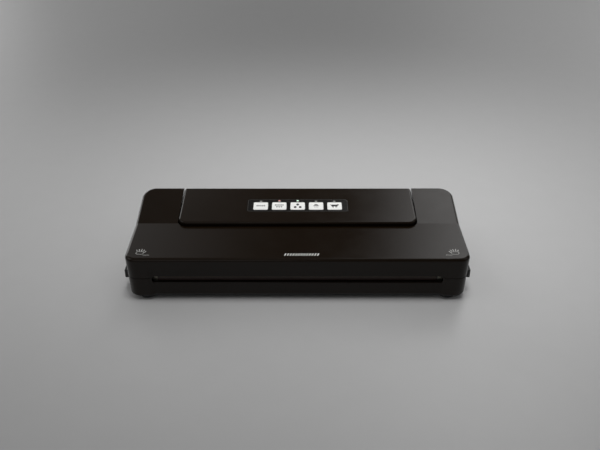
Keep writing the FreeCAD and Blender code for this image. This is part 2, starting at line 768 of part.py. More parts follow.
transformer_x = -pump_x
vent_slots = 7
vent_pitch = 7.0
vent_wide = 3.0
board_half = 36.0
board_front = 18.0
board_rear = 62.0
board_z = 13.0
board_corner = 1.5
board_top = board_z + board_thick
board_post_r = 3.0
board_hole_r = 1.2
board_posts_at = [(s * 32.0, y) for s in (-1, 1) for y in (22.0, 58.0)]
relay_box = (22.0, 34.0, 20.0, 35.0, board_top, 30.0)
film_capacitor = (-18.0, 0.0, 21.0, 28.0, board_top, 26.0)
round_capacitors = [(5.0, -12.0, 45.0, 34.0), (4.0, -26.0, 46.0, 30.0)]    # radius, x, y, top
terminal_box = (-34.0, -22.0, 20.0, 32.0, board_top, 24.0)
terminal_ways = (23.0, 29.0)
terminal_way_r = 1.6
terminal_way_z = 19.0
terminal_way_deep = 6.0
sink_x = 8.0
sink_y = 42.0
sink_wide = 18.0
sink_deep = 10.0
sink_fin = 2.0
sink_fins = 5
sink_low = 16.0
sink_top = 38.0
gauge_at = (12.0, 28.0)
gauge_r = 9.0
gauge_top = 22.0
ribbon_x = (-22.0, -10.0)
ribbon_y = 34.5
ribbon_thick = 0.6
lead_r = 1.0
lead_bend = 3.0
lead_z = 8.4
lead_end = (20.0, 21.0)
lead_x = bar_half + 3.0
gland_x = transformer_x - 6.0
gland_z = 14.5
gland_r = 4.5
gland_flange_r = 6.5
gland_bore = 3.4


def along_x(radius, start, end):
    """Rod on the pump's axis, from start to end measured from pump_x."""
    return rod(radius, (pump_x + start, pump_y, pump_z), (pump_x + end, pump_y, pump_z))


def make_pump_motor():
    can = along_x(motor_r, 0.0, motor_long)
    end = along_x(motor_end_r, motor_long, motor_long + motor_end)
    bore = along_x(shaft_r + shaft_gap, -over, motor_long - motor_end_r * 2)
    feet = box(pump_x + motor_end_r * 2, pump_x + motor_long - motor_end_r * 2,
               pump_y - pump_foot_half - over, pump_y + pump_foot_half + over, split_z,
               pump_z - motor_r + motor_end_r + over)
    return joined([can, end, feet]).cut(bore)


def make_pump_head():
    case = box(pump_x - head_long, pump_x, pump_y - head_half, pump_y + head_half, head_low,
               head_top)
    cavity = box(pump_x - head_long + head_wall, pump_x - head_wall,
                 pump_y - head_half + head_wall + over, pump_y + head_half - head_wall - over,
                 head_low + head_wall, head_top - head_wall + 0.5)
    shaft_hole = along_x(shaft_r + 0.9, -head_wall - over, over)
    port_start = pump_y - head_half
    port = rod(hose_r, (port_x, port_start, port_z), (port_x, port_start - port_long, port_z))
    port_hole = rod(hose_bore, (port_x, port_start + head_wall + over / 2, port_z),
                    (port_x, port_start - port_long - over, port_z))
    feet = box(pump_x - head_long + head_wall + over, pump_x - head_wall - over,
               pump_y - pump_foot_half, pump_y + pump_foot_half, split_z, head_low)
    return joined([case, port, feet]).cut([cavity, shaft_hole, port_hole])


def make_pump_rotor():
    crank_start = -2 * crank_long - over
    shaft = along_x(shaft_r, crank_start - over, motor_long - motor_end_r * 2 - over)
    crank = along_x(crank_r, crank_start, crank_start + crank_long)
    crank.translate(V(0, 0, eccentric))
    return joined([shaft, crank])


def make_pump_diaphragm():
    """Rubber diaphragm with its rod and the ring that runs round the eccentric."""
    start, end = -2 * crank_long, -crank_long - rod_half
    swing = crank_r + eccentric + crank_gap
    hoop = along_x(swing + rod_ring, start, end)
    stem = box(pump_x + start, pump_x + end, pump_y - rod_half, pump_y + rod_half,
               pump_z + swing + over, diaphragm_z + 0.5)
    inside = head_long / 2 - head_wall - 0.5
    disc = box(port_x - inside, port_x + inside, pump_y - inside - 2.0, pump_y + inside + 2.0,
               diaphragm_z, diaphragm_z + diaphragm_thick)
    hole = along_x(swing, start - over, end + over)
    return joined([hoop, stem, disc]).cut(hole)


def make_transformer_core():
    core = box(transformer_x - core_half, transformer_x + core_half, core_front, core_rear,
               split_z, core_top)
    outer = core_half - core_limb
    windows = [box(transformer_x + x0, transformer_x + x0 + core_window, core_front - over,
                   core_rear + over, window_low, window_top)
               for x0 in (-outer, outer - core_window)]
    return core.cut(windows)


def make_transformer_winding():
    half = core_half - core_limb - winding_gap
    leg_half = core_half - core_limb - core_window
    outer = slab(transformer_x - half, transformer_x + half, core_front - winding_out,
                 core_rear + winding_out, window_low + winding_gap, window_top - winding_gap,
                 winding_corner)
    leg = box(transformer_x - leg_half, transformer_x + leg_half, core_front, core_rear, 0.0,
              rear_z)
    return outer.cut(leg)


def make_power_board():
    board = slab(-board_half, board_half, board_front, board_rear, board_z, board_top,
                 board_corner)
    holes = [rod(board_hole_r, (x, y, 0.0), (x, y, rear_z)) for x, y in board_posts_at]
    return board.cut(holes)


def make_capacitors():
    cans = [rod(r, (x, y, board_top), (x, y, top)) for r, x, y, top in round_capacitors]
    return group(cans + [box(*film_capacitor)])


def make_heat_sink():
    back = box(sink_x, sink_x + sink_wide, sink_y - sink_fin, sink_y, board_top, sink_top)
    pitch = (sink_wide - sink_fin) / (sink_fins - 1)
    fins = [box(sink_x + i * pitch, sink_x + i * pitch + sink_fin, sink_y, sink_y + sink_deep
                - sink_fin, sink_low, sink_top) for i in range(sink_fins)]
    return joined([back] + fins)


def make_mains_terminal():
    face = terminal_box[0]
    ways = [rod(terminal_way_r, (face - over, y, terminal_way_z),
                (face + terminal_way_deep, y, terminal_way_z)) for y in terminal_ways]
    return box(*terminal_box).cut(ways)


def make_valve_block():
    """Manifold with the vent solenoid on top and a nipple to each hose."""
    rear = valve_front + 10.0
    front = valve_front - valve_nose
    manifold = box(valve_x - valve_half, valve_x + valve_half, valve_front, rear, valve_low,
                   coil_low)
    coil = rod(valve_half, (valve_x, valve_y, coil_low), (valve_x, valve_y, coil_top))
    nose = rod(hose_r, (valve_x, valve_front, hose_z), (valve_x, front, hose_z))
    side = rod(hose_r, (valve_x + valve_half, side_y, side_z),
               (valve_x + valve_half + side_long, side_y, side_z))
    hollow = rod(plunger_r + plunger_gap, (valve_x, valve_y, plunger_low - 2.0),
                 (valve_x, valve_y, plunger_top))
    way = rod(hose_bore, (valve_x, valve_y, hose_z), (valve_x, 0.0, hose_z))
    side_way = rod(hose_bore, (valve_x, side_y, side_z),
                   (valve_x + valve_half + side_long + over, side_y, side_z))
    return joined([manifold, coil, nose, side]).cut([hollow, way, side_way])


def make_chamber_hose():
    start = (valve_x, chamber_rear + nipple_end, hose_z)
    end = (valve_x, valve_front - valve_nose, hose_z)
    return rod(hose_r, start, end).cut(rod(hose_bore, start, end))


def make_pump_hose():
    points = [(port_x, pump_y - head_half - port_long, port_z), (port_x, side_y, port_z),
              (port_x, side_y, side_z), (valve_x + valve_half + side_long, side_y, side_z)]
    return bent_tube(points, hose_bend, hose_r, hose_bore)


def make_heater_leads():
    """A lead from each end of the seal bar to the power board."""
    points = [(lead_x, bar_middle, deck_z), (lead_x, bar_middle, lead_z), (140.0, -51.0, lead_z),
              (70.0, -8.0, lead_z), (*lead_end, lead_z), (*lead_end, board_z)]
    return group(both(bent_tube(points, lead_bend, lead_r)))


def make_ribbon_cable():
    under_board = (tower_front_z + tower_slope * (ribbon_y - tower_front) - board_drop
                   - board_thick)
    return box(*ribbon_x, ribbon_y, ribbon_y + ribbon_thick, board_top, under_board - 0.6)


def make_vent_plunger():
    return rod(plunger_r, (valve_x, valve_y, plunger_low), (valve_x, valve_y, plunger_top))


def make_vacuum_switch():
    case = rod(gauge_r, (*gauge_at, board_top), (*gauge_at, gauge_top))
    return joined([case, rod(hose_r, (*gauge_at, gauge_top), (*gauge_at, gauge_top + 6.0))])


def make_cable_gland():
    def part(radius, start, end):
        return rod(radius, (gland_x, rear_y - start, gland_z), (gland_x, rear_y - end, gland_z))
    flange = part(gland_flange_r, 2 * wall + over, wall + 1.4)
    return joined([part(gland_r, 2 * wall, 0.8), flange]).cut(part(gland_bore, 8.0, -3.0))


def make_lid_switch():
    half = lever_half + lever_pin_out
    case = box(lever_x - half, lever_x + half, 0.0, lever_case, split_z, lever_case_top)
    ears = [box(lever_x + s * (half - lever_ear / 2) - lever_ear / 2,
                lever_x + s * (half - lever_ear / 2) + lever_ear / 2, 0.0, 2 * lever_pivot[0],
                lever_case_top - 0.6, lever_pivot[1] + lever_pivot_r + 0.3) for s in (-1, 1)]
    hole = rod(lever_pin_r + 0.05, (lever_x - 2 * half, *lever_pivot),
               (lever_x + 2 * half, *lever_pivot))
    return joined([case] + ears).cut(hole)


def make_switch_lever():
    inner, outer = lever_x - lever_half, lever_x + lever_half
    arm = box(inner, outer, lever_pivot[0], lever_reach + 3.0, lever_pivot[1] - 0.3,
              lever_pivot[1] + 0.3)
    hub = rod(lever_pivot_r, (inner, *lever_pivot), (outer, *lever_pivot))
    pin = rod(lever_pin_r, (inner - lever_half, *lever_pivot), (outer + lever_half, *lever_pivot))
    tip = box(inner, outer, lever_reach - 2.0, lever_reach + 2.0, lever_pivot[1], lever_top)
    return joined([arm, hub, pin, tip])


body = body_solid()
shell = make_lid_shell(body)
save("lid_shell", shell)
save("lid_liner", make_lid_liner())
save("lid_screws", make_screws(lid_screws_at, liner_z - 0.6, liner_z + 0.8,
                               liner_z + liner_thick + 6.0))
for side, shape in zip(("right", "left"), both(make_hook())):
    save("lid_hook_" + side, shape)
for side, shape in zip(("right", "left"), both(make_slider())):
    save("latch_slider_" + side, shape)
for side, shape in zip(("right", "left"), both(make_spring())):
    save("latch_spring_" + side, shape)
pin = rod(hinge_pin_r, (pin_inner, hinge_y, hinge_z), (pin_outer, hinge_y, hinge_z))
for side, shape in zip(("right", "left"), both(pin)):
    save("hinge_pin_" + side, shape)

save("base_housing", make_base_housing(body))
save("bottom_cover", make_bottom_cover())
save("cover_screws", make_screws(cover_screws_at, cover_z + 0.2, cover_z + 0.2 + screw_head,
                                 split_z + 9.0))
for (x, y), name in zip(feet_at(), ("front_left", "front_right", "rear_left", "rear_right")):
    save("foot_" + name, make_foot(x, y))
save("cable_gland", make_cable_gland())

save("lower_gasket", ring(gasket_front, gasket_rear, gasket_half, gasket_width,
                          deck_z - groove_depth, gasket_top, gasket_corner))
save("upper_gasket", ring(gasket_front, gasket_rear, gasket_half, gasket_width,
                          gasket_top + gasket_gap, liner_z + groove_depth / 2, gasket_corner))
save("heater_base", box(-bar_half, bar_half, bar_front, bar_rear, deck_z - 1.0, bar_top))
save("heater_strip", box(-bar_half, bar_half, bar_middle - strip_width / 2,
                         bar_middle + strip_width / 2, bar_top, bar_top + strip_thick))
tape = box(-bar_half + 2.0, bar_half - 2.0, bar_front, bar_rear, bar_top, tape_top)
save("ptfe_tape", tape.cut(box(-bar_half, bar_half, bar_middle - strip_width / 2,
                               bar_middle + strip_width / 2, 0.0, bar_top + strip_thick)))
clamp = box(bar_half, bar_half + 6.0, bar_middle - 3.0, bar_middle + 3.0, deck_z, bar_top)
save("heater_terminals", group(both(clamp)))
save("pressure_strip", box(-bar_half, bar_half, bar_front, bar_front + press_width,
                           tape_top + press_gap, liner_z + 0.5))

save("control_tower", make_tower())
save("panel_overlay", make_overlay())
for i, name in enumerate(("seal", "vacuum", "dry", "soft", "moist")):
    save("key_" + name, make_key(i))
save("light_guide", make_light_guide())
save("control_board", make_control_board())
save("tact_switches", make_tact_switches())
save("status_leds", make_status_leds())
save("board_screws", make_board_screws())

save("power_board", make_power_board())
save("relay", box(*relay_box))
save("capacitors", make_capacitors())
save("heat_sink", make_heat_sink())
save("mains_terminal", make_mains_terminal())
save("transformer_core", make_transformer_core())
save("transformer_winding", make_transformer_winding())
save("pump_motor", make_pump_motor())
save("pump_head", make_pump_head())
save("pump_rotor", make_pump_rotor())
save("pump_diaphragm", make_pump_diaphragm())
save("valve_block", make_valve_block())
save("vent_plunger", make_vent_plunger())
save("vacuum_switch", make_vacuum_switch())
save("chamber_hose", make_chamber_hose())
save("pump_hose", make_pump_hose())
save("heater_leads", make_heater_leads())
save("ribbon_cable", make_ribbon_cable())
save("lid_switch", make_lid_switch())
save("lid_switch_lever", make_switch_lever())
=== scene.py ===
import bpy, math
from mathutils import Matrix, Vector


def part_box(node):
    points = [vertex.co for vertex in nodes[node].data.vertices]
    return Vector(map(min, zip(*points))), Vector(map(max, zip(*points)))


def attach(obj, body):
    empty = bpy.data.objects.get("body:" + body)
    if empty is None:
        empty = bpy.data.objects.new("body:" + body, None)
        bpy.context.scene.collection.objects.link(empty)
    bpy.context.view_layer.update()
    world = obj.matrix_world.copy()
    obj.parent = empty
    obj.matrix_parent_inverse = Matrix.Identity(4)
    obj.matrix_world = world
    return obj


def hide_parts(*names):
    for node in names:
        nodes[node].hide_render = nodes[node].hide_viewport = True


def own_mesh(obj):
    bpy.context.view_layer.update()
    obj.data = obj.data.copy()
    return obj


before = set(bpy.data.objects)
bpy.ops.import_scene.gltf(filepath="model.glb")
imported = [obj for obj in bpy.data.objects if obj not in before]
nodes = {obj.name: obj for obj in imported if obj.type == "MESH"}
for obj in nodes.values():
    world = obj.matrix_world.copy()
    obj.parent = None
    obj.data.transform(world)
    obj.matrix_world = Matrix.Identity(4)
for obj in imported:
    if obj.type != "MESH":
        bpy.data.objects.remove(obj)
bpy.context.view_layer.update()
mm = 0.001
print("frame loaded:", len(nodes), "nodes")


def hexColour(code):    # sRGB hex to the linear colour that a shader takes
    channels = [int(code[i:i + 2], 16) / 255 for i in (0, 2, 4)]
    return (*[c / 12.92 if c <= 0.04045 else ((c + 0.055) / 1.055) ** 2.4 for c in channels], 1.0)


def addNode(tree, kind, inputs=None, **settings):
    node = tree.nodes.new(kind)
    for name, value in settings.items():
        setattr(node, name, value)
    for key, value in (inputs or {}).items():
        if isinstance(value, bpy.types.NodeSocket):
            tree.links.new(value, node.inputs[key])
        else:
            node.inputs[key].default_value = value
    return node


def perMm(size):
    return 1000.0 / size     # texture scale that gives features of this size in millimetres


surface = {
    "cloudMm": 28, "glossMm": 6,           # slow colour clouds and gloss patches of moulded plastic
    "noiseLow": 0.3, "noiseHigh": 0.7,     # the span that a noise texture mostly fills
    "metalCloudMm": 9, "metalTint": 0.08,
    "streakDepth": 0.01, "streakStretch": 25,     # streaks are this many times longer than wide
    "dullest": 1.4, "brightest": 0.7,      # share of a metal's roughness in and between its streaks
}


def startMaterial(name, inputs):
    material = bpy.data.materials.new(name)
    material.use_nodes = True
    tree = material.node_tree
    shader = tree.nodes["Principled BSDF"]
    for key, value in inputs.items():
        shader.inputs[key].default_value = value
    place = addNode(tree, "ShaderNodeTexCoord").outputs["Object"]
    return material, tree, shader, place


def varyColour(tree, shader, place, colour, sizeMm, amount):
    cloud = addNode(tree, "ShaderNodeTexNoise", {"Vector": place, "Scale": perMm(sizeMm),
                                                 "Detail": 3.0})
    low = addNode(tree, "ShaderNodeHueSaturation", {"Value": 1.0 - amount, "Color": hexColour(colour)})
    high = addNode(tree, "ShaderNodeHueSaturation", {"Value": 1.0 + amount, "Color": hexColour(colour)})
    mix = addNode(tree, "ShaderNodeMix", data_type="RGBA")
    for socket, source in ((0, cloud.outputs["Fac"]), (6, low.outputs[0]), (7, high.outputs[0])):
        tree.links.new(source, mix.inputs[socket])
    tree.links.new(mix.outputs[2], shader.inputs["Base Color"])
    return mix


def varyGloss(tree, shader, source, low, high):
    gloss = addNode(tree, "ShaderNodeMapRange", {
        "Value": source, 1: surface["noiseLow"], 2: surface["noiseHigh"], 3: low, 4: high})
    tree.links.new(gloss.outputs[0], shader.inputs["Roughness"])


def raiseGrain(tree, shader, source, depthMm):
    bump = addNode(tree, "ShaderNodeBump", {"Height": source, "Strength": 1.0,
                                            "Distance": depthMm * mm})
    tree.links.new(bump.outputs[0], shader.inputs["Normal"])


def moulded(name, colour, roughness, grainMm, grainDepth, spread=0.05, tint=0.06, **more):
    material, tree, shader, place = startMaterial(name, {"Roughness": roughness, **more})
    varyColour(tree, shader, place, colour, surface["cloudMm"], tint)
    fine = addNode(tree, "ShaderNodeTexNoise", {"Vector": place, "Scale": perMm(surface["glossMm"]),
                                                "Detail": 4.0})
    varyGloss(tree, shader, fine.outputs["Fac"], roughness - spread / 2, roughness + spread / 2)
    grain = addNode(tree, "ShaderNodeTexNoise", {"Vector": place, "Scale": perMm(grainMm),
                                                 "Detail": 2.0})
    raiseGrain(tree, shader, grain.outputs["Fac"], grainDepth)
    return material


def drawnMetal(name, colour, roughness, streakMm, axis=0):
    inputs = {"Base Color": hexColour(colour), "Metallic": 1.0, "Roughness": roughness}
    material, tree, shader, place = startMaterial(name, inputs)
    varyColour(tree, shader, place, colour, surface["metalCloudMm"], surface["metalTint"])
    stretch = [perMm(streakMm)] * 3
    stretch[axis] = perMm(streakMm * surface["streakStretch"])     # streaks run along this axis
    scaled = addNode(tree, "ShaderNodeMapping", {"Vector": place, "Scale": stretch})
    streak = addNode(tree, "ShaderNodeTexNoise", {"Vector": scaled.outputs[0], "Scale": 1.0,
                                                  "Detail": 3.0})
    varyGloss(tree, shader, streak.outputs["Fac"], roughness * surface["brightest"],
              roughness * surface["dullest"])
    raiseGrain(tree, shader, streak.outputs["Fac"], surface["streakDepth"])
    return material


def polishedAbs():    # black ABS from a mirror-polished mould: sharp gloss, slow waves, fine wipe marks
    look = {"colour": "160e06", "cloudMm": 40, "tint": 0.1, "specular": 0.22, "ior": 1.53,
            "roughness": 0.15, "glossier": 0.02, "duller": 0.05,
            "waveMm": 26.0, "waveDepth": 0.012,
            "wipeMm": 0.5, "wipeStretch": 40, "wipeTurn": 12,
            "hazeMm": 22, "hazeLow": 0.15, "hazeHigh": 0.4}
    material, tree, shader, place = startMaterial("mirror_moulded_abs", {
        "Roughness": look["roughness"], "Specular IOR Level": look["specular"], "IOR": look["ior"]})
    varyColour(tree, shader, place, look["colour"], look["cloudMm"], look["tint"])
    across = [perMm(look["wipeMm"] * look["wipeStretch"]), perMm(look["wipeMm"]),
              perMm(look["wipeMm"])]
    turned = addNode(tree, "ShaderNodeMapping", {
        "Vector": place, "Scale": across, "Rotation": (0, 0, math.radians(look["wipeTurn"]))})
    wipes = addNode(tree, "ShaderNodeTexNoise", {"Vector": turned.outputs[0], "Scale": 1.0,
                                                 "Detail": 2.0})
    haze = addNode(tree, "ShaderNodeTexNoise", {"Vector": place, "Scale": perMm(look["hazeMm"]),
                                                "Detail": 2.0})
    blend = addNode(tree, "ShaderNodeMath", {0: wipes.outputs["Fac"], 1: haze.outputs["Fac"]},
                    operation="MULTIPLY")
    gloss = addNode(tree, "ShaderNodeMapRange", {
        "Value": blend.outputs[0], 1: look["hazeLow"], 2: look["hazeHigh"],
        3: look["roughness"] - look["glossier"], 4: look["roughness"] + look["duller"]})
    tree.links.new(gloss.outputs[0], shader.inputs["Roughness"])
    waves = addNode(tree, "ShaderNodeTexNoise", {"Vector": place, "Scale": perMm(look["waveMm"]),
                                                 "Detail": 1.0})
    raiseGrain(tree, shader, waves.outputs["Fac"], look["waveDepth"])
    return material


def cellFoam():    # closed-cell foam: dull, pitted with open skin cells
    look = {"colour": "232324", "cloudMm": 5, "tint": 0.2, "roughness": 0.88,
            "cellMm": 1.1, "cellDepth": 0.2, "pitReach": 0.5, "pitShade": 0.55}
    material, tree, shader, place = startMaterial("closed_cell_foam", {"Roughness": look["roughness"]})
    mix = varyColour(tree, shader, place, look["colour"], look["cloudMm"], look["tint"])
    cells = addNode(tree, "ShaderNodeTexVoronoi", {"Vector": place, "Scale": perMm(look["cellMm"])})
    # the cell hollows are painted darker: painted shade in the pits, on top of the bump
    paintedPitShade = addNode(tree, "ShaderNodeMapRange", {"Value": cells.outputs["Distance"], 1: 0.0,
                                                2: look["pitReach"], 3: look["pitShade"], 4: 1.0})
    shaded = addNode(tree, "ShaderNodeMix", data_type="RGBA", blend_type="MULTIPLY")
    shaded.inputs[0].default_value = 1.0
    tree.links.new(mix.outputs[2], shaded.inputs[6])
    tree.links.new(paintedPitShade.outputs[0], shaded.inputs[7])
    tree.links.new(shaded.outputs[2], shader.inputs["Base Color"])
    raiseGrain(tree, shader, cells.outputs["Distance"], look["cellDepth"])
    return material


def glassClothTape():    # PTFE on woven glass cloth: dark brown, waxy, with the weave showing through
    look = {"warp": "4a3a28", "weft": "33271a", "roughness": 0.38, "depth": 0.03,
            "threadMm": 0.7, "threadsPerWave": 2, "wobble": 0.4}
    waveUnit = math.tau / 20     # length of one wave of a wave texture at scale 1
    material, tree, shader, place = startMaterial("ptfe_coated_glass_cloth",
                                                  {"Roughness": look["roughness"]})
    weave = []
    for direction in ("X", "Y"):
        wave = addNode(tree, "ShaderNodeTexWave", {
            "Vector": place, "Distortion": look["wobble"],
            "Scale": perMm(look["threadMm"] * look["threadsPerWave"]) * waveUnit},
            wave_type="BANDS", bands_direction=direction)
        weave.append(wave.outputs["Fac"])
    cross = addNode(tree, "ShaderNodeMath", {0: weave[0], 1: weave[1]}, operation="MAXIMUM")
    mix = addNode(tree, "ShaderNodeMix", data_type="RGBA")
    tree.links.new(cross.outputs[0], mix.inputs[0])
    mix.inputs[6].default_value = hexColour(look["weft"])
    mix.inputs[7].default_value = hexColour(look["warp"])
    tree.links.new(mix.outputs[2], shader.inputs["Base Color"])
    raiseGrain(tree, shader, cross.outputs[0], look["depth"])
    return material


def circuitBoard():    # solder mask over copper tracks: dark green with lighter raised tracks
    look = {"mask": "0f4020", "track": "2b7a3c", "roughness": 0.32, "depth": 0.03,
            "trackMm": 2.54, "trackWidth": 0.06, "stagger": 0.37}
    rowHeight = 0.25     # height of a brick row at scale 1
    material, tree, shader, place = startMaterial("solder_masked_glass_epoxy",
                                                  {"Roughness": look["roughness"]})
    tracks = addNode(tree, "ShaderNodeTexBrick", {
        "Vector": place, "Scale": perMm(look["trackMm"]) * rowHeight,
        "Mortar Size": look["trackWidth"],
        "Color1": hexColour(look["mask"]), "Color2": hexColour(look["mask"]),
        "Mortar": hexColour(look["track"])}, offset=look["stagger"])
    tree.links.new(tracks.outputs["Color"], shader.inputs["Base Color"])
    raiseGrain(tree, shader, tracks.outputs["Fac"], look["depth"])
    return material


def lampLens(name, colour, strength):    # diffused light pipe end: brighter in patches
    look = {"roughness": 0.3, "patchMm": 1.5, "tint": 0.15}
    material, tree, shader, place = startMaterial(name, {"Roughness": look["roughness"],
                                                         "Emission Strength": strength})
    mix = varyColour(tree, shader, place, colour, look["patchMm"], look["tint"])
    tree.links.new(mix.outputs[2], shader.inputs["Emission Color"])
    return material


finishes = {
    "polishedAbs": polishedAbs(),
    "foam": cellFoam(),
    "glassCloth": glassClothTape(),
    "circuitBoard": circuitBoard(),
    # spark-eroded mould: dull black with a fine pitted grain
    "texturedAbs": moulded("spark_textured_abs", "151414", 0.48, 0.7, 0.03, 0.12),
    # back-printed film: satin, flatter black than the cover round it
    "panelFilm": moulded("printed_polycarbonate_film", "0f0d0b", 0.26, 1.2, 0.006, 0.05,
                         **{"Specular IOR Level": 0.3}),
    # moulded key caps: clean white with a slight satin
    "whiteKey": moulded("satin_moulded_white_abs", "f4f4f1", 0.34, 1.0, 0.005, 0.06, 0.015),
    # screen inks: matt, a little uneven where the mesh laid them down
    "greyInk": moulded("grey_screen_ink", "a9a9a6", 0.5, 0.4, 0.006),
    "whiteInk": moulded("white_screen_ink", "ededea", 0.5, 0.4, 0.006),
    "blackInk": moulded("black_screen_ink", "0b0b0b", 0.5, 0.4, 0.006),
    "keyGreyInk": moulded("dark_grey_screen_ink", "48484a", 0.5, 0.4, 0.006),
    "borderInk": moulded("charcoal_screen_ink", "35322f", 0.45, 0.4, 0.006),
    # rubber: matt with a dusty, uneven skin; silicone the same but smoother
    "footRubber": moulded("moulded_nitrile_rubber", "19191b", 0.58, 0.8, 0.03, 0.2, 0.12),
    "silicone": moulded("moulded_grey_silicone", "8f8f8b", 0.42, 0.7, 0.02),
    # clear hose: milky, with a faint grain
    "hoseSilicone": moulded("extruded_translucent_silicone", "d9d9d2", 0.3, 1.5, 0.01,
                            **{"Transmission Weight": 0.35, "IOR": 1.41}),
    # pressed resin: brown, half gloss, slightly grainy
    "phenolic": moulded("moulded_phenolic_resin", "2a1912", 0.42, 0.5, 0.015),
    # component bodies: dull charcoal with a dry, fine grain
    "blackComponent": moulded("transfer_moulded_epoxy", "1b1b1c", 0.55, 0.3, 0.02),
    # lead insulation: smooth red with a soft shine
    "leadRed": moulded("extruded_pvc_lead", "8c1710", 0.4, 1.0, 0.005),
    # metals: gloss broken by the lines that drawing, rolling or extruding leaves
    "platedSteel": drawnMetal("zinc_plated_steel", "b9bbbd", 0.3, 0.25),
    "laminations": drawnMetal("stacked_silicon_steel", "6f6f70", 0.5, 0.5),
    "nichrome": drawnMetal("rolled_nichrome_strip", "a8a29a", 0.28, 0.12),
    "aluminium": drawnMetal("extruded_aluminium", "c4c6c8", 0.35, 0.2, 2),
    "copper": drawnMetal("enamelled_copper_wire", "b5602c", 0.3, 0.3),
    "brass": drawnMetal("nickel_plated_brass", "8d8a80", 0.35, 0.3),
    # light pipes: lit ones glow in patches, unlit ones look smoky grey
    "lampRed": lampLens("lit_red_light_pipe", "d98a88", 0.45),
    "lampGreen": lampLens("lit_green_white_light_pipe", "dcffe6", 0.8),
    "lampOff": lampLens("unlit_light_pipe", "3c3f3d", 0.0),
}

keyNames = ("seal", "vacuum", "dry", "soft", "moist")
footPlaces = ("front_left", "front_right", "rear_left", "rear_right")
nodesByFinish = {
    "polishedAbs": ("lid_shell", "base_housing", "control_tower"),
    "texturedAbs": ("lid_liner", "bottom_cover", "latch_slider_left", "latch_slider_right",
                    "lid_hook_left", "lid_hook_right", "lid_switch_lever", "vent_plunger"),
    "panelFilm": ("panel_overlay",),
    "whiteKey": tuple("key_" + name for name in keyNames) + ("status_leds",),
    "footRubber": tuple("foot_" + place for place in footPlaces) + ("pump_diaphragm",
                                                                    "cable_gland"),
    "foam": ("lower_gasket", "upper_gasket"),
    "glassCloth": ("ptfe_tape",),
    "circuitBoard": ("control_board", "power_board"),
    "silicone": ("pressure_strip", "ribbon_cable"),
    "hoseSilicone": ("chamber_hose", "pump_hose", "light_guide"),
    "phenolic": ("heater_base",),
    "blackComponent": ("tact_switches", "relay", "capacitors", "mains_terminal", "vacuum_switch",
                       "valve_block", "pump_head", "lid_switch"),
    "leadRed": ("heater_leads",),
    "laminations": ("transformer_core",),
    "nichrome": ("heater_strip",),
    "aluminium": ("heat_sink",),
    "copper": ("transformer_winding",),
    "brass": ("heater_terminals",),
}
finishOfNode = {node: finish for finish, names in nodesByFinish.items() for node in names}
for name, node in nodes.items():
    node.data.materials.clear()
    node.data.materials.append(finishes[finishOfNode.get(name, "platedSteel")])
print("finishes on all CAD nodes")

studio = {
    "floor": "bcbcbc",
    "floorDrop": 0.2,       # keeps the floor just under the feet
    "floorReach": 6.0,
    "lens": 44.1,
    "sensor": 36.0,
    "nearClip": 0.01,
    "pitch": 31.86,
    "crestY": -64.3,        # the lid's front crest, which the camera is placed from
    "crestZ": 54.0,
    "ahead": 645.0,         # camera to that crest, level
    "above": 441.0,
    "side": 2.7,
}
# soft panels of the studio, in degrees seen from the object: azimuth 0 is straight behind it
# and 90 to its right, elevation 90 is overhead; each edge fades between its two numbers
softPanels = {
    "rightBack": {"left": (5, 18), "right": (26, 40), "low": (8, 44), "high": (60, 80),
                  "power": 2.7},
    "leftBack": {"left": (-52, -40), "right": (-20, -1), "low": (6, 20), "high": (36, 46),
                 "power": 0.5},
    "overhead": {"left": (-181, -180), "right": (180, 181), "low": (60, 78), "high": (95, 96),
                 "power": 0.1},
    "leftLow": {"left": (-58, -48), "right": (-26, -18), "low": (-2, 4), "high": (20, 32),
                "power": 1.6},
    "rightLow": {"left": (20, 28), "right": (48, 58), "low": (-2, 4), "high": (18, 26),
                 "power": 0.8},
    "leftSide": {"left": (-125, -110), "right": (-80, -60), "low": (12, 28), "high": (50, 66),
                 "power": 0.8},
    "rightSide": {"left": (65, 80), "right": (110, 125), "low": (12, 28), "high": (50, 66),
                  "power": 0.4},
    "behindCamera": {"left": (-400, -399), "right": (-160, -125), "low": (14, 24),
                     "high": (40, 56), "power": 0.45},
    "horizon": {"left": (-181, -180), "right": (180, 181), "low": (-4, 0), "high": (4, 14),
                "power": 0.16},
}
# light from everywhere, a little stronger above: strengths, and elevations in degrees
skyGlow = {"low": 0.04, "high": 0.14, "from": 28, "to": 50}
# one soft spot over the object, in metres, degrees and watts
poolLamp = {"at": (0.06, -0.02, 1.7), "aim": (0.04, 0.16, 0.0), "cone": 34, "radius": 0.3,
            "watts": 80.0}


def makeCamera():
    camera = bpy.data.objects.new("camera", bpy.data.cameras.new("camera"))
    camera.data.lens = studio["lens"]
    camera.data.sensor_width = studio["sensor"]
    camera.location = Vector((studio["side"], studio["crestY"] - studio["ahead"],
                              studio["crestZ"] + studio["above"])) * mm
    camera.rotation_euler = (math.radians(90 - studio["pitch"]), 0, 0)
    camera.data.clip_start = studio["nearClip"]
    bpy.context.scene.collection.objects.link(camera)
    bpy.context.scene.camera = camera


def makeFloor():
    mesh = bpy.data.meshes.new("floor")
    reach = studio["floorReach"]
    mesh.from_pydata([(-reach, -reach, 0), (reach, -reach, 0), (reach, reach, 0), (-reach, reach, 0)],
                     [], [(0, 1, 2, 3)])
    floor = bpy.data.objects.new("floor", mesh)
    bpy.context.scene.collection.objects.link(floor)
    floor.location.z = -studio["floorDrop"] * mm
    mesh.materials.append(moulded("satin_studio_paint", studio["floor"], 0.34, 3.0, 0.004, 0.04, 0.02,
                                  **{"Specular IOR Level": 0.4}))


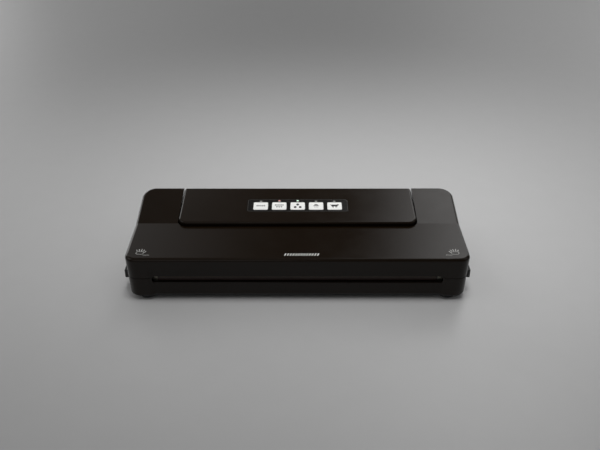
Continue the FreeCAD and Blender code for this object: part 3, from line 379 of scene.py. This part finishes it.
def lightStudio():
    world = bpy.data.worlds.new("studio")
    bpy.context.scene.world = world
    world.use_nodes = True
    tree = world.node_tree
    away = addNode(tree, "ShaderNodeTexCoord").outputs["Generated"]
    parts = addNode(tree, "ShaderNodeSeparateXYZ", {0: away}).outputs
    sideways = addNode(tree, "ShaderNodeMath", {0: parts[0], 1: parts[1]}, operation="ARCTAN2")
    upwards = addNode(tree, "ShaderNodeMath", {0: parts[2]}, operation="ARCSINE")
    azimuth, elevation = sideways.outputs[0], upwards.outputs[0]

    def fade(source, start, end, low, high):
        step = {"Value": source, 1: math.radians(start), 2: math.radians(end), 3: low, 4: high}
        return addNode(tree, "ShaderNodeMapRange", step, interpolation_type="SMOOTHSTEP").outputs[0]

    total = fade(elevation, skyGlow["from"], skyGlow["to"], skyGlow["low"], skyGlow["high"])
    for panel in softPanels.values():
        shape = fade(azimuth, *panel["left"], 0.0, panel["power"])
        edges = (fade(azimuth, *panel["right"], 1.0, 0.0), fade(elevation, *panel["low"], 0.0, 1.0),
                 fade(elevation, *panel["high"], 1.0, 0.0))
        for edge in edges:
            shape = addNode(tree, "ShaderNodeMath", {0: shape, 1: edge},
                            operation="MULTIPLY").outputs[0]
        total = addNode(tree, "ShaderNodeMath", {0: total, 1: shape}, operation="ADD").outputs[0]
    background = tree.nodes["Background"]
    background.inputs["Color"].default_value = (1, 1, 1, 1)
    tree.links.new(total, background.inputs["Strength"])


def hangPoolLamp():    # lights the floor and the white keys, kept out of the gloss
    light = bpy.data.lights.new("pool", "SPOT")
    light.spot_size, light.spot_blend = math.radians(poolLamp["cone"]), 1.0
    light.shadow_soft_size = poolLamp["radius"]
    light.energy = poolLamp["watts"]
    lamp = bpy.data.objects.new("pool", light)
    lamp.location = poolLamp["at"]
    lamp.rotation_euler = (Vector(poolLamp["aim"]) - lamp.location).to_track_quat("-Z", "Y").to_euler()
    lamp.visible_glossy = False
    bpy.context.scene.collection.objects.link(lamp)


bpy.context.scene.view_settings.view_transform = "Standard"
makeCamera()
makeFloor()
hangPoolLamp()
lightStudio()
print("camera, floor and studio light")


def addPiece(name, mesh, finish, body):
    piece = bpy.data.objects.new(name, mesh)
    bpy.context.scene.collection.objects.link(piece)
    if finish:
        mesh.materials.clear()
        mesh.materials.append(finishes[finish])
    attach(piece, body)
    return piece


def disc(x, y, radius, count=20):
    return [(x + radius * math.cos(math.tau * i / count), y + radius * math.sin(math.tau * i / count))
            for i in range(count)]


def bar(start, end, width, count=6):    # round-ended bar between two points
    direction = math.atan2(end[1] - start[1], end[0] - start[0])
    ends = ((end, direction - math.pi / 2), (start, direction + math.pi / 2))
    return [(x + width / 2 * math.cos(turn + math.pi * i / count),
             y + width / 2 * math.sin(turn + math.pi * i / count))
            for (x, y), turn in ends for i in range(count + 1)]


def roundedBox(halfX, halfY, radius, count=6):
    corners = ((1, 1), (-1, 1), (-1, -1), (1, -1))
    return [(sx * (halfX - radius) + radius * math.cos(math.pi / 2 * (quarter + i / count)),
             sy * (halfY - radius) + radius * math.sin(math.pi / 2 * (quarter + i / count)))
            for quarter, (sx, sy) in enumerate(corners) for i in range(count + 1)]


def printMesh(name, shapes, place, thick, holes=()):    # raised print: each outline becomes a thin slab
    points, faces = [], []
    rings = dict(holes)
    for index, outline in enumerate(shapes):
        first, count = len(points), len(outline)
        inner = rings.get(index)
        points += [(x, y, 0.0) for x, y in outline] + [(x, y, thick) for x, y in outline]
        for i in range(count):
            after = (i + 1) % count
            faces.append((first + i, first + after, first + count + after, first + count + i))
        if inner is None:
            faces.append([first + count + i for i in range(count)])
            faces.append([first + i for i in reversed(range(count))])
            continue
        second = len(points)
        points += [(x, y, 0.0) for x, y in inner] + [(x, y, thick) for x, y in inner]
        for i in range(count):
            after = (i + 1) % count
            faces.append((second + after, second + i, second + count + i, second + count + after))
            faces.append((first + count + i, first + count + after, second + count + after,
                          second + count + i))
            faces.append((first + after, first + i, second + i, second + after))
    mesh = bpy.data.meshes.new(name)
    mesh.from_pydata([Vector(p) * mm for p in points], [], faces)
    mesh.transform(place)
    return mesh


panel = {
    "rise": 5.9, "run": 64.8,        # slope of the tower's top
    "inkThick": 0.05, "inkSink": 0.02, "lensSink": 0.25,
    "border": 0.45, "borderInset": 0.7, "borderCorner": 2.4,
    "ledAhead": 11.0, "ledLong": 2.5, "ledWide": 1.1, "ledCorner": 0.5,
    "lit": {"vacuum": "lampRed", "dry": "lampGreen"},
}
panelTurn = math.atan2(panel["rise"], panel["run"])
panelAxes = (Vector((1, 0, 0)), Vector((0, math.cos(panelTurn), math.sin(panelTurn))),
             Vector((0, -math.sin(panelTurn), math.cos(panelTurn))))


def onPanel(node, ahead=0.0):    # place at the middle of a node's outer face, in the panel's slope
    low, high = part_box(node)
    middle = (low + high) / 2
    face = max(panelAxes[2].dot(v.co) for v in nodes[node].data.vertices)
    origin = (panelAxes[0] * middle.x + panelAxes[1] * (panelAxes[1].dot(middle) + ahead * mm)
              + panelAxes[2] * (face - panel["inkSink"] * mm))
    turn = Matrix(panelAxes).transposed().to_4x4()
    return Matrix.Translation(origin) @ turn


def dashRow(y, count, pitch, long, tall):
    start = -(count - 1) * pitch / 2
    return [[(start + i * pitch + long * a, y + tall * b)
             for a, b in ((-0.5, -0.5), (0.5, -0.5), (0.5, 0.5), (-0.5, 0.5))] for i in range(count)]


def domeOutline(halfWide, tall, count=16):
    return [(halfWide * math.cos(math.pi * i / count), tall * math.sin(math.pi * i / count))
            for i in range(count + 1)]


def stretched(outline, tall):    # pictograms are drawn tall, because they are read at a low angle
    return [(x, y * tall) for x, y in outline]


def beastShapes():    # meat pictogram: a rounded body on four short legs, with a head and a tail
    legs = [bar((x, 0.2), (x, -2.6), 0.85) for x in (-2.7, -1.3, 1.2, 2.5)]
    return legs + [bar((-2.6, 0.9), (2.4, 0.9), 2.9), disc(3.9, 2.1, 1.15),
                   bar((-3.8, 1.6), (-4.8, 2.6), 0.5)]


dot = stretched(disc(0, 0, 1.55), 1.3)
keyPrints = {
    "seal": ("keyGreyInk", dashRow(0.2, 5, 2.1, 1.5, 2.0)),
    "vacuum": ("keyGreyInk", dashRow(1.7, 6, 1.75, 1.3, 1.9) + dashRow(-1.8, 3, 2.6, 1.6, 1.9)),
    "dry": ("blackInk", [[(x + dx, y + dy) for x, y in dot]
                         for dx, dy in ((0, 2.7), (-2.9, -2.4), (2.9, -2.4))]),
    "soft": ("blackInk", [[(x, y + 0.9) for x, y in domeOutline(2.5, 2.3)],
                          bar((-3.3, 0.1), (3.3, 0.1), 0.6), bar((-2.3, -2.3), (2.3, -2.3), 0.6)]),
    "moist": ("blackInk", beastShapes()),
}
for name, (ink, shapes) in keyPrints.items():
    mesh = printMesh("key_print_" + name, shapes, onPanel("key_" + name), panel["inkThick"])
    addPiece("key_print_" + name, mesh, ink, "key_" + name)
    lens = printMesh("lamp_lens_" + name,
                     [roundedBox(panel["ledLong"] / 2, panel["ledWide"] / 2, panel["ledCorner"])],
                     onPanel("key_" + name, panel["ledAhead"]), panel["inkThick"])
    lens.transform(Matrix.Translation(panelAxes[2] * (-panel["lensSink"] * mm)))
    addPiece("lamp_lens_" + name, lens, panel["lit"].get(name, "lampOff"), "base")

low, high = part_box("panel_overlay")
halfX, halfY = ((high.x - low.x) / 2 / mm - panel["borderInset"],
                (high.y - low.y) / 2 / mm / math.cos(panelTurn) - panel["borderInset"])
outer = roundedBox(halfX, halfY, panel["borderCorner"])
inner = roundedBox(halfX - panel["border"], halfY - panel["border"],
                   panel["borderCorner"] - panel["border"])
addPiece("panel_border", printMesh("panel_border", [outer], onPanel("panel_overlay"),
                                   panel["inkThick"], {0: inner}), "borderInk", "base")
print("panel prints and lamps")

lidPrints = {
    "top": 54.0, "sink": 0.02, "thick": 0.06,
    "handX": 169.0, "handY": -54.5, "line": 0.6,
    "markX": 4.5, "markY": -59.5, "markLong": 38.0, "markTall": 3.6, "ticks": 13,
    "tickLean": 0.6, "tickWide": 1.1,
}
hand = {
    "palm": (4.2, 2.7, 2.1), "palmDrop": 2.0,     # half width, half length, corner
    "fingers": ((-3.3, 2.4, 112), (-1.15, 3.6, 96), (1.15, 3.6, 84), (3.3, 2.4, 68)),    # x, length, angle
    "knuckles": 1.5, "fingerWide": 1.0,
    "thumb": ((4.9, -1.2), (6.0, 1.4)), "thumbWide": 0.9,
    "rule": ((4.0, -6.0), (10.5, -6.0)),
}


def handShapes(side):    # open hand drawn in line, with a short line towards the middle of the lid
    line, knuckles = lidPrints["line"], hand["knuckles"]
    palm = [(x, y - hand["palmDrop"]) for x, y in roundedBox(*hand["palm"])]
    inside = [(x, y - hand["palmDrop"]) for x, y in roundedBox(*[v - line for v in hand["palm"]])]
    shapes = [palm]
    for x, long, turn in hand["fingers"]:
        lean = math.radians(turn)
        tip = (x + long * math.cos(lean), knuckles + long * math.sin(lean))
        shapes.append(bar((x, knuckles), tip, hand["fingerWide"]))
    for part, width in (("thumb", hand["thumbWide"]), ("rule", line)):
        start, end = [(-x * side, y) for x, y in hand[part]]
        shapes.append(bar(start, end, width))
    return shapes, {0: inside}


def lidPlace(x, y):
    return Matrix.Translation(Vector((x, y, lidPrints["top"] - lidPrints["sink"])) * mm)


for side, name in ((-1, "left"), (1, "right")):
    shapes, holes = handShapes(side)
    mesh = printMesh("press_here_" + name, shapes,
                     lidPlace(side * lidPrints["handX"], lidPrints["handY"]), lidPrints["thick"],
                     holes)
    addPiece("press_here_" + name, mesh, "greyInk", "lid")

tickPitch = lidPrints["markLong"] / lidPrints["ticks"]
seam = []
for i in range(lidPrints["ticks"]):    # slanted stitches, like the weld across a bag
    x, half = -lidPrints["markLong"] / 2 + (i + 0.5) * tickPitch, lidPrints["markTall"] / 2
    lean = lidPrints["tickLean"]
    seam.append(bar((x - lean, -half), (x + lean, half), lidPrints["tickWide"]))
addPiece("seam_mark", printMesh("seam_mark", seam, lidPlace(lidPrints["markX"], lidPrints["markY"]),
                                lidPrints["thick"]), "whiteInk", "lid")
print("lid prints")


def ridgeTree():    # a row of half-sunk round ridges: count, pitch, length and radius are inputs
    tree = bpy.data.node_groups.new("ridge_row", "GeometryNodeTree")
    wanted = (("Count", "NodeSocketInt"), ("Pitch", "NodeSocketFloat"), ("Length", "NodeSocketFloat"),
              ("Radius", "NodeSocketFloat"), ("Material", "NodeSocketMaterial"))
    for label, kind in wanted:
        tree.interface.new_socket(label, in_out="INPUT", socket_type=kind)
    tree.interface.new_socket("Geometry", in_out="OUTPUT", socket_type="NodeSocketGeometry")
    given = addNode(tree, "NodeGroupInput").outputs
    halfLength = addNode(tree, "ShaderNodeMath", {0: given["Length"], 1: 0.5}, operation="MULTIPLY")
    otherHalf = addNode(tree, "ShaderNodeMath", {0: given["Length"], 1: -0.5}, operation="MULTIPLY")
    start = addNode(tree, "ShaderNodeCombineXYZ", {"Y": otherHalf.outputs[0]})
    end = addNode(tree, "ShaderNodeCombineXYZ", {"Y": halfLength.outputs[0]})
    line = addNode(tree, "GeometryNodeCurvePrimitiveLine", {"Start": start.outputs[0],
                                                            "End": end.outputs[0]})
    profile = addNode(tree, "GeometryNodeCurvePrimitiveCircle", {"Resolution": grips["sides"],
                                                                 "Radius": given["Radius"]})
    ridge = addNode(tree, "GeometryNodeCurveToMesh", {0: line.outputs[0], 1: profile.outputs[0],
                                                      "Fill Caps": True})
    step = addNode(tree, "ShaderNodeCombineXYZ", {"X": given["Pitch"]})
    spots = addNode(tree, "GeometryNodeMeshLine", {"Count": given["Count"],
                                                   "Offset": step.outputs[0]})
    row = addNode(tree, "GeometryNodeInstanceOnPoints", {"Points": spots.outputs[0],
                                                         "Instance": ridge.outputs[0]})
    solid = addNode(tree, "GeometryNodeRealizeInstances", {0: row.outputs[0]})
    painted = addNode(tree, "GeometryNodeSetMaterial", {0: solid.outputs[0],
                                                        "Material": given["Material"]})
    addNode(tree, "NodeGroupOutput", {0: painted.outputs[0]})
    return tree


def meshFromTree(name, tree, values):
    source = bpy.data.objects.new(name + "_source", bpy.data.meshes.new(name + "_source"))
    bpy.context.scene.collection.objects.link(source)
    modifier = source.modifiers.new("nodes", "NODES")
    modifier.node_group = tree
    for item in tree.interface.items_tree:
        if item.in_out == "INPUT":
            modifier[item.identifier] = values[item.name]
    seen = source.evaluated_get(bpy.context.evaluated_depsgraph_get())
    mesh = bpy.data.meshes.new_from_object(seen)
    source.modifiers.clear()
    bpy.data.objects.remove(source)
    mesh.name = name
    return mesh


grips = {"count": 7, "pitch": 1.9, "radius": 0.25, "length": 3.6, "inset": 0.6, "sides": 10}
ridges = ridgeTree()
for side, name in ((-1, "left"), (1, "right")):
    low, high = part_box("latch_slider_" + name)
    outerX = high.x if side > 0 else -low.x
    mesh = meshFromTree("grip_ridges_" + name, ridges, {
        "Count": grips["count"], "Pitch": grips["pitch"] * mm, "Length": grips["length"] * mm,
        "Radius": grips["radius"] * mm, "Material": finishes["texturedAbs"]})
    start = (low.y + high.y) / 2 - (grips["count"] - 1) / 2 * grips["pitch"] * mm
    middleX = side * (outerX - (grips["length"] / 2 + grips["inset"]) * mm)
    mesh.transform(Matrix.Translation((middleX, start, high.z)) @ Matrix.Rotation(math.pi / 2, 4, "Z"))
    addPiece("grip_ridges_" + name, mesh, None, "latch_" + name)
print("grip ridges")


def coilTree():    # a coil spring: turns, radius, length and wire are inputs
    tree = bpy.data.node_groups.new("spring_coil", "GeometryNodeTree")
    wanted = (("Turns", "NodeSocketFloat"), ("Radius", "NodeSocketFloat"),
              ("Length", "NodeSocketFloat"), ("Wire Radius", "NodeSocketFloat"),
              ("Material", "NodeSocketMaterial"))
    for label, kind in wanted:
        tree.interface.new_socket(label, in_out="INPUT", socket_type=kind)
    tree.interface.new_socket("Geometry", in_out="OUTPUT", socket_type="NodeSocketGeometry")
    given = addNode(tree, "NodeGroupInput").outputs
    spiral = addNode(tree, "GeometryNodeCurveSpiral", {
        "Resolution": springs["stepsPerTurn"], "Rotations": given["Turns"], "Start Radius": given["Radius"],
        "End Radius": given["Radius"], "Height": given["Length"]})
    section = addNode(tree, "GeometryNodeCurvePrimitiveCircle", {
        "Resolution": springs["wireSides"], "Radius": given["Wire Radius"]})
    wire = addNode(tree, "GeometryNodeCurveToMesh", {0: spiral.outputs[0], 1: section.outputs[0],
                                                     "Fill Caps": True})
    solid = addNode(tree, "GeometryNodeRealizeInstances", {0: wire.outputs[0]})
    painted = addNode(tree, "GeometryNodeSetMaterial", {0: solid.outputs[0],
                                                        "Material": given["Material"]})
    addNode(tree, "NodeGroupOutput", {0: painted.outputs[0]})
    return tree


springs = {"turns": 5.0, "wireRadius": 0.3, "travel": 3.0, "wireSides": 8, "stepsPerTurn": 24}
coil = coilTree()
for side, name in ((-1, "left"), (1, "right")):
    low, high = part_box("latch_spring_" + name)
    wire = springs["wireRadius"] * mm
    span = high.x - low.x
    mesh = meshFromTree("return_spring_" + name, coil, {
        "Turns": springs["turns"], "Radius": (high.z - low.z) / 2 - wire, "Length": span - 2 * wire,
        "Wire Radius": wire, "Material": finishes["platedSteel"]})
    middle = (low + high) / 2
    mesh.transform(Matrix.Translation((low.x + wire, middle.y, middle.z))
                   @ Matrix.Rotation(math.pi / 2, 4, "Y"))
    spring = addPiece("return_spring_" + name, mesh, None, "base")
    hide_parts("latch_spring_" + name)
    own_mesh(spring)
print("latch springs")
